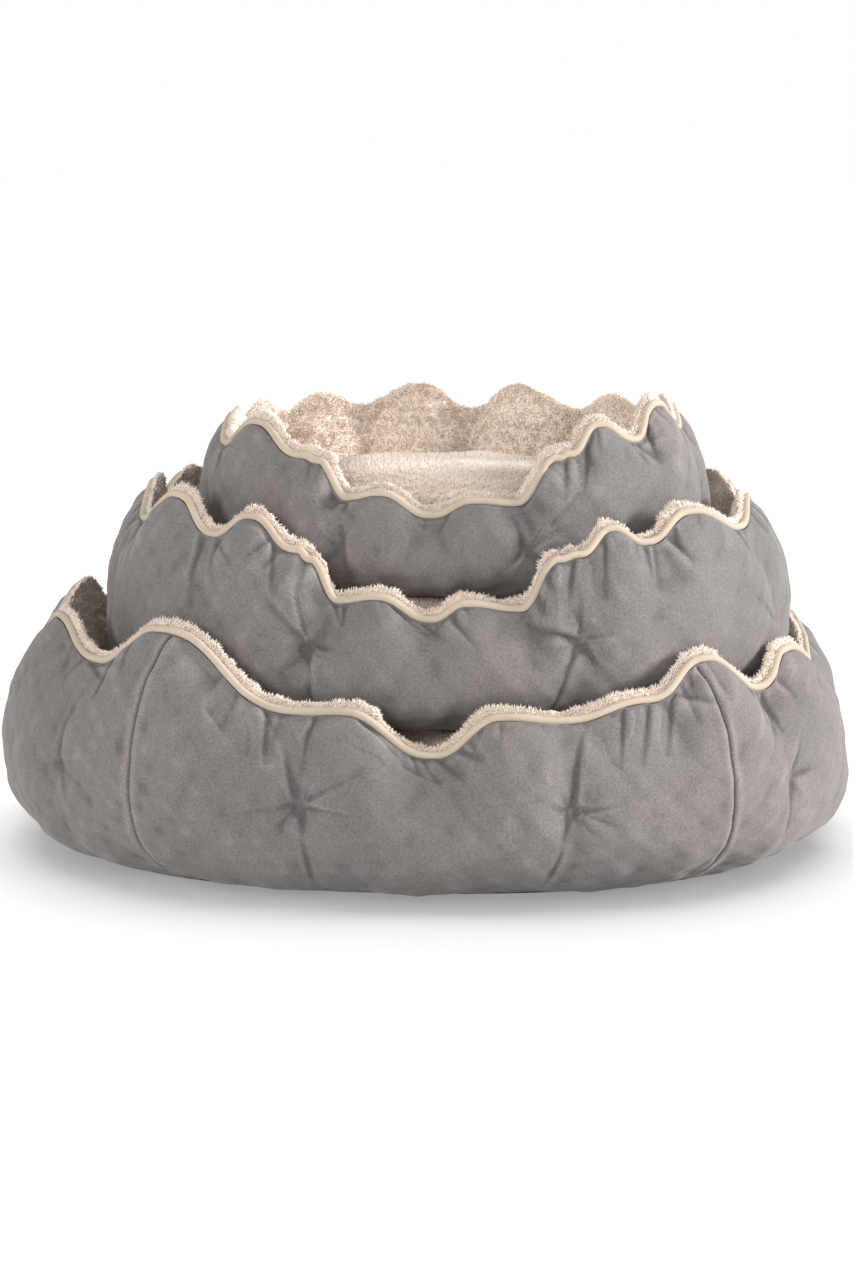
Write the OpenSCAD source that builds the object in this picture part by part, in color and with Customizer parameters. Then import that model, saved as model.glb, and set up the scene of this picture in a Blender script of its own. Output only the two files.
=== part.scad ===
// Nested set of scalloped oval pet cushion beds: large, medium and small, each resting on the
// cushion of the one below. A bed is a stuffed wall with a velvet outside and a plush inside,
// piped along its scalloped rim, tied through at each dip, and sewn to a padded base.
// Millimetres, +Z up. The origin is on the ground under the middle of the large bed, front is -Y.

/* [Large bed] */
// Width across the fullest part of the wall
large_width = 836; // [820:2:860]
// Depth from front to back
large_depth = 680; // [670:2:700]
// Turn about the vertical, in degrees
large_turn = -4; // [-6:1:-2]

/* [Medium bed] */
// Width across the fullest part of the wall
medium_width = 672; // [660:2:680]
// Depth from front to back
medium_depth = 540; // [530:2:544]
// Height of its base above the ground
medium_rise = 142; // [140:1:150]
// How far it sits to the right of the large bed
medium_shift = 21; // [10:1:22]
// Turn about the vertical, in degrees
medium_turn = -4; // [-6:1:-2]

/* [Small bed] */
// Width across the fullest part of the wall
small_width = 500; // [490:2:506]
// Depth from front to back
small_depth = 404; // [396:2:410]
// Height of its base above the ground
small_rise = 260; // [256:1:270]
// How far it sits to the right of the large bed
small_shift = 26; // [16:1:30]
// Turn about the vertical, in degrees
small_turn = -7; // [-9:1:-4]
// Thickness of its cushion, which carries nothing
small_cushion = 98; // [80:1:105]

/* [Fabric and filling] */
// Thickness of the velvet
velvet = 2; // [1.5:0.1:2.5]
// Thickness of the plush with its pile
plush = 4; // [3:0.5:4.5]
// Thickness of the non-slip cloth underneath
base_cloth = 2; // [1.5:0.1:2.5]
// Thickness of the wadding in the base
base_pad = 8; // [6:1:10]
// Diameter of the piping on the rim
piping_dia = 9; // [8:0.5:10]
// Diameter of the cord inside the piping
cord_dia = 5.5; // [5:0.1:6]
// Diameter of the ties through the wall
tie_dia = 2; // [1.5:0.1:3]

/* [Hidden] */
// Plan of a bed: 2 is an ellipse, and more is squarer
squareness = 2.3;
// Insets from the fullest part of the wall, as shares of the bed's width
rim_share = 0.056;
base_share = 0.08;
wall_share = 0.106;
// Height of the fullest part, as a share of the rim's height there
belly_share = 0.43;
lining_share = 0.35;
tie_share = 0.53;
// How far round its arc the top of the outside goes before it meets the rim
rim_arc = 65;
// The rim leans out where it dips: by this share of how far it is below the tall scallops
rim_lean = 0.3;
lean_limit = 45;
// Air between layers that are sewn or laid together
layer_gap = 0.3;
// Air round the cord in the piping
cord_room = 0.2;
// Air between the wall's wadding and its fabric
wadding_gap = 2.8;
// Room round a cushion
cushion_gap = 4;
// Widest step between two sections of a wall, in degrees, and the steps of its other outlines
wall_step = 10;
cushion_step = 9;
sheet_step = 6;
// A rim point this close to a seam gives way to it, in degrees
seam_room = 2;
// The middle of the piping from the velvet's edge, outwards and up, as shares of its diameter
piping_in = 0.4;
piping_up = 0.35;
// Flat sides of a piece of piping, and how much thicker its fold is than the two fabrics
round_sides = 6;
fold_room = 2;
// How far the top of the wadding is below the rim, in diameters of the piping
wadding_drop = 1.5;
// The lining's foot, as a share of the wall's inset
foot_share = 0.96;
// The ends of a tie: its inside one as a share of the wall's inset, and its outside one in mm
tie_inner = 0.86;
tie_outer = 2;
// How far the base's edges reach past the wall's seams
base_reach = 2;
// Angles round the lower outside of the wall
foot_angles = [0, 32, 62];

floor_top = base_cloth + layer_gap + base_pad + layer_gap + plush;

// Rims, from the right-hand end round to the back: [angle, height above the bed's base].
// High entries are the tops of the scallops, and low ones the dips between them.
large_rim = [
    [-176, 196], [-161, 228], [-145, 201], [-134, 237], [-108, 172], [-101, 173], [-85, 134],
    [-73, 169], [-63, 165], [-50, 180], [-39, 212], [-29, 178], [-20, 205], [-2, 172],
    [14, 206], [27, 190], [40, 228], [53, 196], [66, 238], [79, 198], [92, 242],
    [105, 198], [118, 240], [131, 197], [144, 236], [157, 196], [170, 229]
];
medium_rim = [
    [-178, 204], [-165, 177], [-151, 208], [-138, 177], [-131, 196], [-119, 168], [-116, 160],
    [-110, 123], [-102, 127], [-90, 107], [-82, 122], [-71, 117], [-63, 162], [-59, 166],
    [-51, 188], [-45, 174], [-33, 198], [-18, 176], [-5, 196], [9, 172], [22, 200],
    [36, 174], [50, 202], [64, 176], [78, 206], [92, 178], [106, 206], [120, 176],
    [134, 203], [148, 174], [161, 200], [171, 178]
];
small_rim = [
    [-180, 152], [-160, 132], [-147, 157], [-128, 130], [-123, 126], [-114, 93], [-105, 98],
    [-90, 78], [-77, 92], [-66, 90], [-54, 131], [-51, 134], [-41, 160], [-31, 144],
    [-20, 175], [-4, 146], [12, 162], [26, 139], [40, 156], [53, 139], [73, 164],
    [89, 138], [108, 164], [126, 141], [139, 153], [151, 138], [161, 150], [170, 136]
];

// Where the wall is tied through, at the dips of the rim
large_ties = [-146, -106, -64, -29, -2, 27, 53, 79, 105, 131, 157, 184];
medium_ties = [-138, -114, -61, -44, -17, 9, 36, 64, 92, 120, 148, 171, 194];
small_ties = [-161, -114, -64, -31, -4, 26, 53, 89, 126, 151, 170];

// Seams between the wall's panels: the large bed has four panels, and the others two
large_seams = [-131, -41, 47, 135];
end_seams = [-172, -8];

// A bed is [half width, half depth, rim, ties, cushion thickness, flat share of its top, seams,
// height of its tall scallops]
large_bed = [large_width / 2, large_depth / 2, large_rim, large_ties,
             medium_rise - floor_top - 2 * layer_gap, 0.7, large_seams, 232];
medium_bed = [medium_width / 2, medium_depth / 2, medium_rim, medium_ties,
              small_rise - medium_rise - floor_top - 2 * layer_gap, 0.7, end_seams, 204];
small_bed = [small_width / 2, small_depth / 2, small_rim, small_ties, small_cushion, 0.4,
             end_seams, 164];

WHOLE_PARTS = ["piping", "piping_cord", "wall_filling", "tuft_ties", "base_cloth", "base_pad",
               "floor_cloth", "cushion_top", "cushion_underside", "cushion_filling"];
LARGE_SIDES = ["front", "right", "back", "left"];
OTHER_SIDES = ["front", "back"];

velvet_grey = [0.56, 0.54, 0.53];
plush_beige = [0.86, 0.79, 0.72];
piping_beige = [0.83, 0.76, 0.67];
filling_white = [0.95, 0.95, 0.93];
base_grey = [0.36, 0.35, 0.35];

// ---- Shapes in plan and in section ----

// Radius of an oval at an angle
function oval(half_w, half_d, a) =
    pow(pow(abs(cos(a)) / half_w, squareness) + pow(abs(sin(a)) / half_d, squareness),
        -1 / squareness);

// Radius of a bed's plan at an angle, inset from its fullest part
function radius(bed, inset, a) = oval(bed[0] - inset, bed[1] - inset, a);

function share(bed, part) = 2 * bed[0] * part;

// An angle counted on from the rim's first point
function from_start(rim, a) = a < rim[0][0] ? a + 360 : a >= rim[0][0] + 360 ? a - 360 : a;

// The rim's points once round, with the first repeated at the end
function once_round(rim) = concat(rim, [[rim[0][0] + 360, rim[0][1]]]);

// Height of the rim at an angle, flowing smoothly from point to point
function rim_height(rim, a) =
    let (at = from_start(rim, a), all = once_round(rim),
         i = max([for (k = [0:len(rim) - 1]) if (all[k][0] <= at) k]),
         t = (at - all[i][0]) / (all[i + 1][0] - all[i][0]))
    all[i][1] + (all[i + 1][1] - all[i][1]) * (1 - cos(180 * t)) / 2;

// Inset of the rim at an angle
function rim_inset(bed, a) =
    share(bed, rim_share)
    - rim_lean * max(0, min(lean_limit, bed[7] - rim_height(bed[2], a)));

// Angles once round at every rim point, with even steps between them
function steps(rim) =
    let (all = once_round(rim))
    [for (k = [0:len(rim) - 1])
        let (n = ceil((all[k + 1][0] - all[k][0]) / wall_step))
        for (j = [0:n - 1]) all[k][0] + (all[k + 1][0] - all[k][0]) * j / n];

// Angles of a wall's sections: the steps, with each seam in the place of any step beside it
function columns(bed) =
    let (at = steps(bed[2]), seams = bed[6], end = at[0] + 360)
    [for (i = [0:len(at) - 1])
        let (next = i + 1 < len(at) ? at[i + 1] : end,
             beside = len([for (s = seams) if (abs(s - at[i]) < seam_room) s]) > 0)
        each concat(beside ? [] : [at[i]], [for (s = seams) if (s >= at[i] && s < next) s])];

// The same from one seam to the next
function columns_between(bed, from, to) =
    [for (turn = [0, 360], a = columns(bed)) if (a + turn > from - 0.01 && a + turn < to + 0.01) a + turn];

// Outside of the wall in section, from the base seam up to the rim: [radius, height]
function outer_line(bed, a) =
    let (h = rim_height(bed[2], a), foot = base_cloth + layer_gap, belly = belly_share * h)
    concat(
        [for (t = foot_angles) [radius(bed, share(bed, base_share) * (1 - sin(t)), a),
                                foot + (belly - foot) * (1 - cos(t))]],
        [for (t = [0:rim_arc / 3:rim_arc])
            [radius(bed, rim_inset(bed, a) * (1 - cos(t)) / (1 - cos(rim_arc)), a),
             belly + (h - belly) * sin(t) / sin(rim_arc)]]);

// Inside of the wall in section, from the rim down to the floor seam
function inner_line(bed, a) =
    let (h = rim_height(bed[2], a), bulge = lining_share * h,
         top_in = rim_inset(bed, a) + velvet + plush + fold_room, wall_in = share(bed, wall_share))
    concat(
        [for (t = [0:1 / 3:1]) [radius(bed, top_in + (wall_in - top_in) * (1 - cos(180 * t)) / 2, a),
                                h + (bulge - h) * t]],
        [[radius(bed, wall_in * foot_share, a), floor_top + layer_gap]]);

// A line in section moved sideways by d, to the left of its direction when d is positive
function moved(line, d) =
    [for (i = [0:len(line) - 1])
        let (along = line[min(i + 1, len(line) - 1)] - line[max(i - 1, 0)])
        line[i] + d * [-along.y, along.x] / norm(along)];

function reversed(list) = [for (i = [len(list) - 1:-1:0]) list[i]];
function without_ends(list) = [for (i = [1:len(list) - 2]) list[i]];
function without_first(list) = [for (i = [1:len(list) - 1]) list[i]];
function without_last(list) = [for (i = [0:len(list) - 2]) list[i]];

// A section in its place round the bed
function placed(section, a) = [for (p = section) [p.x * cos(a), p.x * sin(a), p.y]];

// Cross-sections of the wall's pieces
function panel_section(bed, a) =
    let (line = outer_line(bed, a)) concat(line, reversed(moved(line, velvet)));
function lining_section(bed, a) =
    let (line = inner_line(bed, a)) concat(line, reversed(moved(line, plush)));
function filling_section(bed, a) =
    let (out = moved(outer_line(bed, a), velvet + wadding_gap),
         in = moved(inner_line(bed, a), plush + wadding_gap),
         rim_out = out[len(out) - 1])
    concat(without_last(out),
           [[(rim_out.x + in[0].x) / 2, rim_out.y - wadding_drop * piping_dia]],
           without_first(in));
function round_section(bed, a, r) =
    let (centre = [radius(bed, rim_inset(bed, a) + piping_in * piping_dia, a),
                   rim_height(bed[2], a) + piping_up * piping_dia])
    [for (k = [0:round_sides - 1])
        centre + r * [cos(360 * k / round_sides), sin(360 * k / round_sides)]];

// ---- Solids made from a grid of points ----

// Faces between neighbouring sections, each a closed ring of m points. The sections of a core run
// the other way from those of the fabric round it, so its patches split on the other diagonal.
function side_faces(n, m, looped, core) =
    [for (i = [0:n - (looped ? 1 : 2)], j = [0:m - 1])
        let (p = i * m, q = ((i + 1) % n) * m, k = (j + 1) % m)
        each core ? [[p + j, p + k, q + j], [p + k, q + k, q + j]]
                  : [[p + j, q + k, q + j], [p + j, p + k, q + k]]];

// A solid through sections in order, open-ended with caps, or looped round to the first
module skin(sections, looped = false, core = false) {
    n = len(sections);
    m = len(sections[0]);
    caps = looped ? [] : [[for (j = [m - 1:-1:0]) j], [for (j = [0:m - 1]) (n - 1) * m + j]];
    polyhedron(points = [for (s = sections) each s],
               faces = concat(side_faces(n, m, looped, core), caps), convexity = 6);
}

// ---- The wall's pieces ----

module outer_panel(bed, from, to)
    color(velvet_grey)
        skin([for (a = columns_between(bed, from, to)) placed(panel_section(bed, a), a)]);

module lining_panel(bed, from, to)
    color(plush_beige)
        skin([for (a = columns_between(bed, from, to)) placed(lining_section(bed, a), a)]);

module wall_filling(bed)
    color(filling_white)
        skin([for (a = columns(bed)) placed(filling_section(bed, a), a)],
             looped = true, core = true);

module piping(bed)
    color(piping_beige)
        difference() {
            skin([for (a = columns(bed)) placed(round_section(bed, a, piping_dia / 2), a)],
                 looped = true);
            skin([for (a = columns(bed)) placed(round_section(bed, a, cord_dia / 2 + cord_room), a)],
                 looped = true);
        }

module piping_cord(bed)
    color(filling_white)
        skin([for (a = columns(bed)) placed(round_section(bed, a, cord_dia / 2), a)],
             looped = true);

// Strong threads that pull the two sides of the wall together at each dip
module tuft_ties(bed)
    color(velvet_grey)
        for (a = bed[3])
            let (z = tie_share * rim_height(bed[2], a),
                 near = radius(bed, tie_inner * share(bed, wall_share), a),
                 far = radius(bed, tie_outer, a))
            rotate([0, 0, a])
                translate([near, 0, z])
                    rotate([0, 90, 0])
                        cylinder(h = far - near, d = tie_dia, $fn = 24);

// ---- The base ----

module oval_sheet(bed, inset, thickness)
    linear_extrude(thickness)
        polygon([for (a = [0:sheet_step:360 - sheet_step]) radius(bed, inset, a) * [cos(a), sin(a)]]);

module base_cloth(bed)
    color(base_grey)
        oval_sheet(bed, share(bed, base_share) - base_reach, base_cloth);

module base_pad(bed)
    color(filling_white)
        translate([0, 0, base_cloth + layer_gap])
            oval_sheet(bed, share(bed, wall_share) + base_reach, base_pad);

module floor_cloth(bed)
    color(plush_beige)
        translate([0, 0, base_cloth + base_pad + 2 * layer_gap])
            oval_sheet(bed, share(bed, wall_share) + base_reach, plush);

// ---- The cushion ----

// Rings of a cushion, as [share of its radius, share of its thickness]
function top_rings(bed) = [[bed[5], 1], [(bed[5] + 1) / 2, 0.96], [0.94, 0.8], [1, 0.5]];
under_rings = [[1, 0.5], [0.95, 0.16], [0.82, 0]];

// One ring in place, drawn in by a thickness all over
function cushion_ring(bed, ring, d) =
    let (inset = share(bed, wall_share) + cushion_gap, mid = bed[4] / 2,
         z = mid + (ring[1] - 0.5) * (bed[4] - 2 * d))
    [for (a = [0:cushion_step:360 - cushion_step])
        let (r = radius(bed, inset + d, a) * ring[0])
        [r * cos(a), r * sin(a), floor_top + 2 * layer_gap + z]];

// A shell over rings that run from a flat middle out to the cushion's seam, and back again
module cushion_shell(bed, rings, out, back)
    skin(concat([for (ring = rings) cushion_ring(bed, ring, out)],
                [for (ring = reversed(rings)) cushion_ring(bed, ring, back)]));

module cushion_top(bed)
    color(plush_beige)
        cushion_shell(bed, top_rings(bed), 0, plush);

module cushion_underside(bed)
    color(velvet_grey)
        translate([0, 0, -layer_gap])
            cushion_shell(bed, reversed(under_rings), velvet, 0);

module cushion_filling(bed)
    color(filling_white)
        skin([for (ring = concat(top_rings(bed), without_first(under_rings)))
            cushion_ring(bed, ring, plush + layer_gap)]);

// ---- The three beds in their places ----

module in_large()
    rotate([0, 0, large_turn]) children();
module in_medium()
    translate([medium_shift, 0, medium_rise]) rotate([0, 0, medium_turn]) children();
module in_small()
    translate([small_shift, 0, small_rise]) rotate([0, 0, small_turn]) children();

// The pieces that every bed has one of
module whole_part(bed, part) {
    if (part == "piping") piping(bed);
    if (part == "piping_cord") piping_cord(bed);
    if (part == "wall_filling") wall_filling(bed);
    if (part == "tuft_ties") tuft_ties(bed);
    if (part == "base_cloth") base_cloth(bed);
    if (part == "base_pad") base_pad(bed);
    if (part == "floor_cloth") floor_cloth(bed);
    if (part == "cushion_top") cushion_top(bed);
    if (part == "cushion_underside") cushion_underside(bed);
    if (part == "cushion_filling") cushion_filling(bed);
}

// The panel or lining that starts at seam number i and ends at the next
module between_seams(bed, i, kind) {
    seams = bed[6];
    from = seams[i];
    to = i + 1 < len(seams) ? seams[i + 1] : seams[0] + 360;
    if (kind == "_panel") outer_panel(bed, from, to);
    if (kind == "_lining") lining_panel(bed, from, to);
}

for (kind = ["_panel", "_lining"]) {
    for (i = [0:3])
        in_large() between_seams(large_bed, i, kind);
    for (i = [0:1])
        in_medium() between_seams(medium_bed, i, kind);
    for (i = [0:1])
        in_small() between_seams(small_bed, i, kind);
}
for (part = WHOLE_PARTS) {
    in_large() whole_part(large_bed, part);
    in_medium() whole_part(medium_bed, part);
    in_small() whole_part(small_bed, part);
}
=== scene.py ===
"""Looks of the nested pet cushion beds: velvet walls, plush linings and cushions, piping, tufts and seams.

Every bed is worked out in its own polar frame: an angle from its right-hand end, a distance from
its middle and a height above its base. Lengths are metres unless a comment says otherwise. The
frame gives each bed's place, plan and heights of its loose parts. The rest is set here.
"""

import math

import bpy
import numpy as np
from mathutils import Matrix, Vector


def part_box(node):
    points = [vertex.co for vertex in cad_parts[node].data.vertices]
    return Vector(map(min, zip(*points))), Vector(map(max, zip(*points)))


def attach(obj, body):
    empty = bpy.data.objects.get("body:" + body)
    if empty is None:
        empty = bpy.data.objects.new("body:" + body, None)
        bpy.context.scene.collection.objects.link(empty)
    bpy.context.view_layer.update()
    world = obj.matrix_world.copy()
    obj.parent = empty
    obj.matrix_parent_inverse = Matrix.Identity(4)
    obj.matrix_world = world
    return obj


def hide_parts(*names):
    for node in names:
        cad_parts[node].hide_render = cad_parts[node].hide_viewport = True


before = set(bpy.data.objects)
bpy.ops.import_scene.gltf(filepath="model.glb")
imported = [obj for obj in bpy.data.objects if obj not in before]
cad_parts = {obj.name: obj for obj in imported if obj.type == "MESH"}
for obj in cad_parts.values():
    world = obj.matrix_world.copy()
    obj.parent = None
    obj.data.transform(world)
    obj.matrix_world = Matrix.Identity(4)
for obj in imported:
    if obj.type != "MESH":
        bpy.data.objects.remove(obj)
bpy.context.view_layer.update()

# ---- Driving sizes ----

BEDS = ("large", "medium", "small")
TURN = {"large": -4.0, "medium": -4.0, "small": -7.0}  # degrees about the vertical, as in the CAD
SQUARENESS = 2.3  # of every plan outline: 2 is an ellipse
RIM_SHARE, BASE_SHARE, WALL_SHARE = 0.056, 0.08, 0.106  # insets, as shares of a bed's width
BELLY_SHARE, LINING_SHARE, TIE_SHARE = 0.43, 0.35, 0.53  # heights, as shares of the rim's
RIM_ARC = math.radians(65)  # how far the outside has turned in where it meets the rim
BELLY_ROW = 0.45  # share of the outside's rows below its belly
ROLL_ROW, FLOOR_ROW = 0.08, 0.80  # shares of the inside's rows where it rolls over and turns under
CLOTH_PAST = 0.002  # how far the base cloth reaches past the foot of the velvet
FOOT = 0.0023  # height of the seam between the wall and the base cloth
FOOT_SAG = 0.0016  # how far the velvet sags below it
PIPING_R, CORD_R, FLANGE_R = 0.0038, 0.0026, 0.0014
PIPING_OUT = 0.0036  # from the velvet's edge to the middle of the piping
PIPING_UP = 0.0030  # and above it
VELVET, PLUSH = 0.0018, 0.0022  # thickness of the fabrics
CREST, CREST_IN = 0.010, 0.012  # how far the plush stands over the edge of the velvet, and inside it
EDGE_UP = 0.001  # how far the plush starts over the edge of the velvet
LINING_FOOT = 0.0166  # height where the plush turns under the floor's edge
UNDER_VELVET, UNDER_PLUSH, UNDER_CUSHION = 0.0045, 0.0050, 0.006  # from a fabric to its wadding

TINY = 1e-12  # smallest length that anything is divided by

# Cloth grids: sections round the wall, and rows up the outside and down the inside
COLUMNS = {"large": 400, "medium": 340, "small": 270}
OUT_ROWS, IN_ROWS = 44, 30
FINE_STEP = 0.0020  # spacing of the final mesh
PILE, CUSHION_PILE = 0.0042, 0.0045  # length of the locks
LOCK_R = (0.0005, 0.0010)  # thinnest and thickest
ROOT_DEPTH = 0.0008  # how far a lock starts below the fabric
LOCKS = {"large": 42000, "medium": 49000, "small": 49000}  # of pile, in each lining and on each cushion

# Rims, as in the CAD: angle in degrees and height in millimetres of each scallop and dip
RIM = {
    "large": [
        (-176, 196), (-161, 228), (-145, 201), (-134, 237), (-108, 172), (-101, 173), (-85, 134),
        (-73, 169), (-63, 165), (-50, 180), (-39, 212), (-29, 178), (-20, 205), (-2, 172),
        (14, 206), (27, 190), (40, 228), (53, 196), (66, 238), (79, 198), (92, 242),
        (105, 198), (118, 240), (131, 197), (144, 236), (157, 196), (170, 229),
    ],
    "medium": [
        (-178, 204), (-165, 177), (-151, 208), (-138, 177), (-131, 196), (-119, 168), (-116, 160),
        (-110, 123), (-102, 127), (-90, 107), (-82, 122), (-71, 117), (-63, 162), (-59, 166),
        (-51, 188), (-45, 174), (-33, 198), (-18, 176), (-5, 196), (9, 172), (22, 200),
        (36, 174), (50, 202), (64, 176), (78, 206), (92, 178), (106, 206), (120, 176),
        (134, 203), (148, 174), (161, 200), (171, 178),
    ],
    "small": [
        (-180, 152), (-160, 132), (-147, 157), (-128, 130), (-123, 126), (-114, 93), (-105, 98),
        (-90, 78), (-77, 92), (-66, 90), (-54, 131), (-51, 134), (-41, 160), (-31, 144),
        (-20, 175), (-4, 146), (12, 162), (26, 139), (40, 156), (53, 139), (73, 164),
        (89, 138), (108, 164), (126, 141), (139, 153), (151, 138), (161, 150), (170, 136),
    ],
}
TALL = {"large": 0.232, "medium": 0.204, "small": 0.164}  # height of the tall scallops
RIM_LEAN, LEAN_LIMIT = 0.3, 0.045  # how the rim leans out at its dips

# Angles in degrees of the ties through each wall and, below, of its panels' seams
TIES = {
    "large": (-146, -106, -64, -29, -2, 27, 53, 79, 105, 131, 157, 184),
    "medium": (-138, -114, -61, -44, -17, 9, 36, 64, 92, 120, 148, 171, 194),
    "small": (-161, -114, -64, -31, -4, 26, 53, 89, 126, 151, 170),
}
PULL = {  # how hard a tie pulls the velvet in, where it isn't the usual
    ("large", -106): 1.0, ("large", -64): 1.0, ("large", -29): 0.55, ("large", -146): 0.7,
    ("medium", -114): 1.0, ("medium", -61): 1.0, ("medium", -44): 0.15, ("medium", -17): 0.35,
    ("medium", -138): 0.1, ("small", -31): 0.2, ("small", -64): 0.85, ("small", -114): 0.85,
}
USUAL_PULL = 0.75
HARD_PULL = 0.5  # a tie that pulls harder than this also holds the cloth while it is stuffed
PIT, HOLLOW = 0.009, 0.0028  # depth of the velvet's pit at a tie, and of its hollow to rim and foot
PLUSH_PIT, PLUSH_HOLLOW = 0.012, 0.007  # the same in the lining
PIT_WIDTH, HOLLOW_WIDTH = 0.012, 0.014
CALM_WIDTH = 0.030  # round a hollow, where the unstuffed wall stands out less
NARROWEST = 0.0027  # half width of the sharpest crease the mesh can hold
SHARP_BEND, BROAD_BEND = 0.0004, 0.004  # bends at which the painted shade of creases and painted light of bulges is almost full
UNSHADED_BEND = 0.00012  # bends gentler than this get no painted shade or light
FULL_START = 0.001  # how far the wall stands out before it is stuffed
DEEPEST, HIGHEST = 0.013, 0.007  # how far folds and lumps go in and out, in the end
SEAMS = {"large": (-131, -41, 47, 135), "medium": (-172, -8), "small": (-172, -8)}
TWO_SIDES = ("front", "back")
SIDES = {"large": ("front", "right", "back", "left"), "medium": TWO_SIDES, "small": TWO_SIDES}

# Folds in the velvet of each bed: angle and percent of the rim's height where it starts, the same
# where it ends, its depth and half width before the two factors below, and which side is higher
FOLD_DEPTH, FOLD_WIDTH = 0.00065, 0.00075
FOLDS = {
    "large": [
        (-106, 55, -104.5, 2, 7, 4, 1), (-106, 55, -110, 93, 5, 6, -1), (-106, 55, -92, 90, 5, 10, 1),
        (-106, 55, -119, 42, 3, 11, 1), (-106, 55, -97, 52, 4, 7, -1), (-64, 55, -61, 97, 9, 5, 1),
        (-64, 55, -69, 2, 7, 3.2, -1), (-64, 55, -57, 42, 3, 4.5, 1), (-64, 55, -72, 66, 3.5, 8, 1),
        (-97, 99, -87.5, 90, 6, 4, 1), (-90, 92, -83, 84, 3.5, 4, 1), (-84, 99, -80, 80, 4.5, 4, 1),
        (-80, 99, -76, 82, 4, 3.5, -1), (-54, 99, -57, 72, 5, 4.5, -1), (-50, 99, -54, 70, 5.5, 5, -1),
        (-46, 99, -50, 74, 5, 4.5, -1), (-29, 55, -22, 50, 3.5, 5, 1), (-29, 55, -25, 78, 3.5, 5, -1),
        (-29, 55, -31, 12, 3.5, 5, 1), (-29, 99, -31, 78, 4.5, 4, 1), (-146, 55, -140, 16, 4.5, 10, 1),
        (-146, 55, -143, 90, 4, 8, 1), (-146, 99, -139, 84, 4.5, 4.5, 1), (-144, 99, -135, 88, 3.5, 4, 1),
        (-122, 86, -114, 74, 3.5, 8, 1), (-113, 99, -111, 72, 4.5, 4.5, 1),
        (-105, 99, -106, 70, 4.5, 4.5, 1),
    ],
    "medium": [
        (-114, 58, -127, 80, 5.5, 9, 1), (-114, 58, -112, 4, 6, 5, -1), (-114, 58, -104, 62, 4.5, 8, 1),
        (-114, 58, -118, 88, 4, 7, -1), (-61, 56, -71, 95, 7, 4.5, 1), (-61, 56, -68, 8, 6, 3.5, -1),
        (-61, 56, -51, 55, 2.5, 5, 1), (-61, 56, -54, 26, 2, 5, -1), (-61, 56, -60, 86, 2, 5, 1),
        (-98, 99, -88, 84, 5, 5, 1), (-86, 99, -80, 66, 5.5, 5, 1), (-64, 99, -69, 82, 4, 3.5, -1),
        (-60, 99, -63, 76, 4.5, 4.5, -1), (-53, 99, -56, 74, 4.5, 4.5, -1), (-44, 99, -46, 76, 4.5, 4.5, 1),
        (-40, 99, -38, 80, 4, 4, 1), (-17, 50, -26, 66, 3.5, 5, 1), (-141, 99, -137, 62, 5.5, 7, 1),
        (-137, 99, -132, 66, 5, 6, 1), (-134, 90, -127, 74, 4, 5, 1), (-124, 99, -121, 74, 4, 5, 1),
        (-165, 99, -156, 72, 4.5, 5, 1), (-162, 99, -150, 86, 4, 4, 1),
    ],
    "small": [
        (-114, 80, -111, 10, 3.5, 9, -1), (-114, 55, -122, 60, 4, 7, 1), (-64, 55, -67, 94, 5.5, 5, 1),
        (-64, 55, -72, 26, 5, 6, -1), (-64, 55, -53, 60, 3, 5, 1), (-60, 62, -50, 80, 4, 6, -1),
        (-52, 99, -55, 70, 4, 4.5, -1), (-44, 99, -50, 76, 4.5, 4, -1), (-31, 99, -27, 80, 4, 3.5, 1),
        (-29, 99, -22, 86, 3.5, 3.5, 1), (-160, 99, -152, 62, 4.5, 5, 1), (-157, 99, -146, 84, 3.5, 4, 1),
    ],
}
RIM_FOLD = 90  # percent: a fold that starts higher than this starts at the rim, not at a tie


# ---- Grids ----


def smooth_step(x):
    x = np.clip(x, 0, 1)
    return x * x * (3 - 2 * x)


def unit(vectors):
    return vectors / np.maximum(np.linalg.norm(vectors, axis=-1, keepdims=True), TINY)


def turned(points, degrees):
    """Points turned about the vertical."""
    c, s = math.cos(math.radians(degrees)), math.sin(math.radians(degrees))
    x, y, z = np.moveaxis(points, -1, 0)
    return np.stack([x * c - y * s, x * s + y * c, z], -1)


def to_row(size, points):
    """Points in a bed's own frame, moved to where the bed stands."""
    return turned(points, TURN[size]) + MIDDLE[size]


def mesh_points(mesh):
    co = np.zeros(len(mesh.vertices) * 3)
    mesh.vertices.foreach_get("co", co)
    return co.reshape(-1, 3)


def node_points(size, node):
    """A CAD node's vertices in its bed's own frame."""
    return turned(mesh_points(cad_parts[f"{size}_{node}"].data) - MIDDLE[size], -TURN[size])


def base_middle(size):
    low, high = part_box(f"{size}_base_cloth")
    return np.array([(low.x + high.x) / 2, (low.y + high.y) / 2, low.z])


def half_sizes(size):
    """Half the width and half the depth of the fullest part of the wall."""
    cloth = np.abs(node_points(size, "base_cloth")).max(0)
    width = (cloth[0] - CLOTH_PAST) / (0.5 - BASE_SHARE)
    return width / 2, cloth[1] - CLOTH_PAST + width * BASE_SHARE


MIDDLE = {size: base_middle(size) for size in BEDS}
HALF = {size: half_sizes(size) for size in BEDS}


def radius(size, inset, angle):
    """Distance of the plan outline from the bed's middle, inset from its fullest part."""
    w, d = HALF[size]
    c, s = np.abs(np.cos(angle)), np.abs(np.sin(angle))
    return ((c / (w - inset)) ** SQUARENESS + (s / (d - inset)) ** SQUARENESS) ** (-1 / SQUARENESS)


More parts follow.
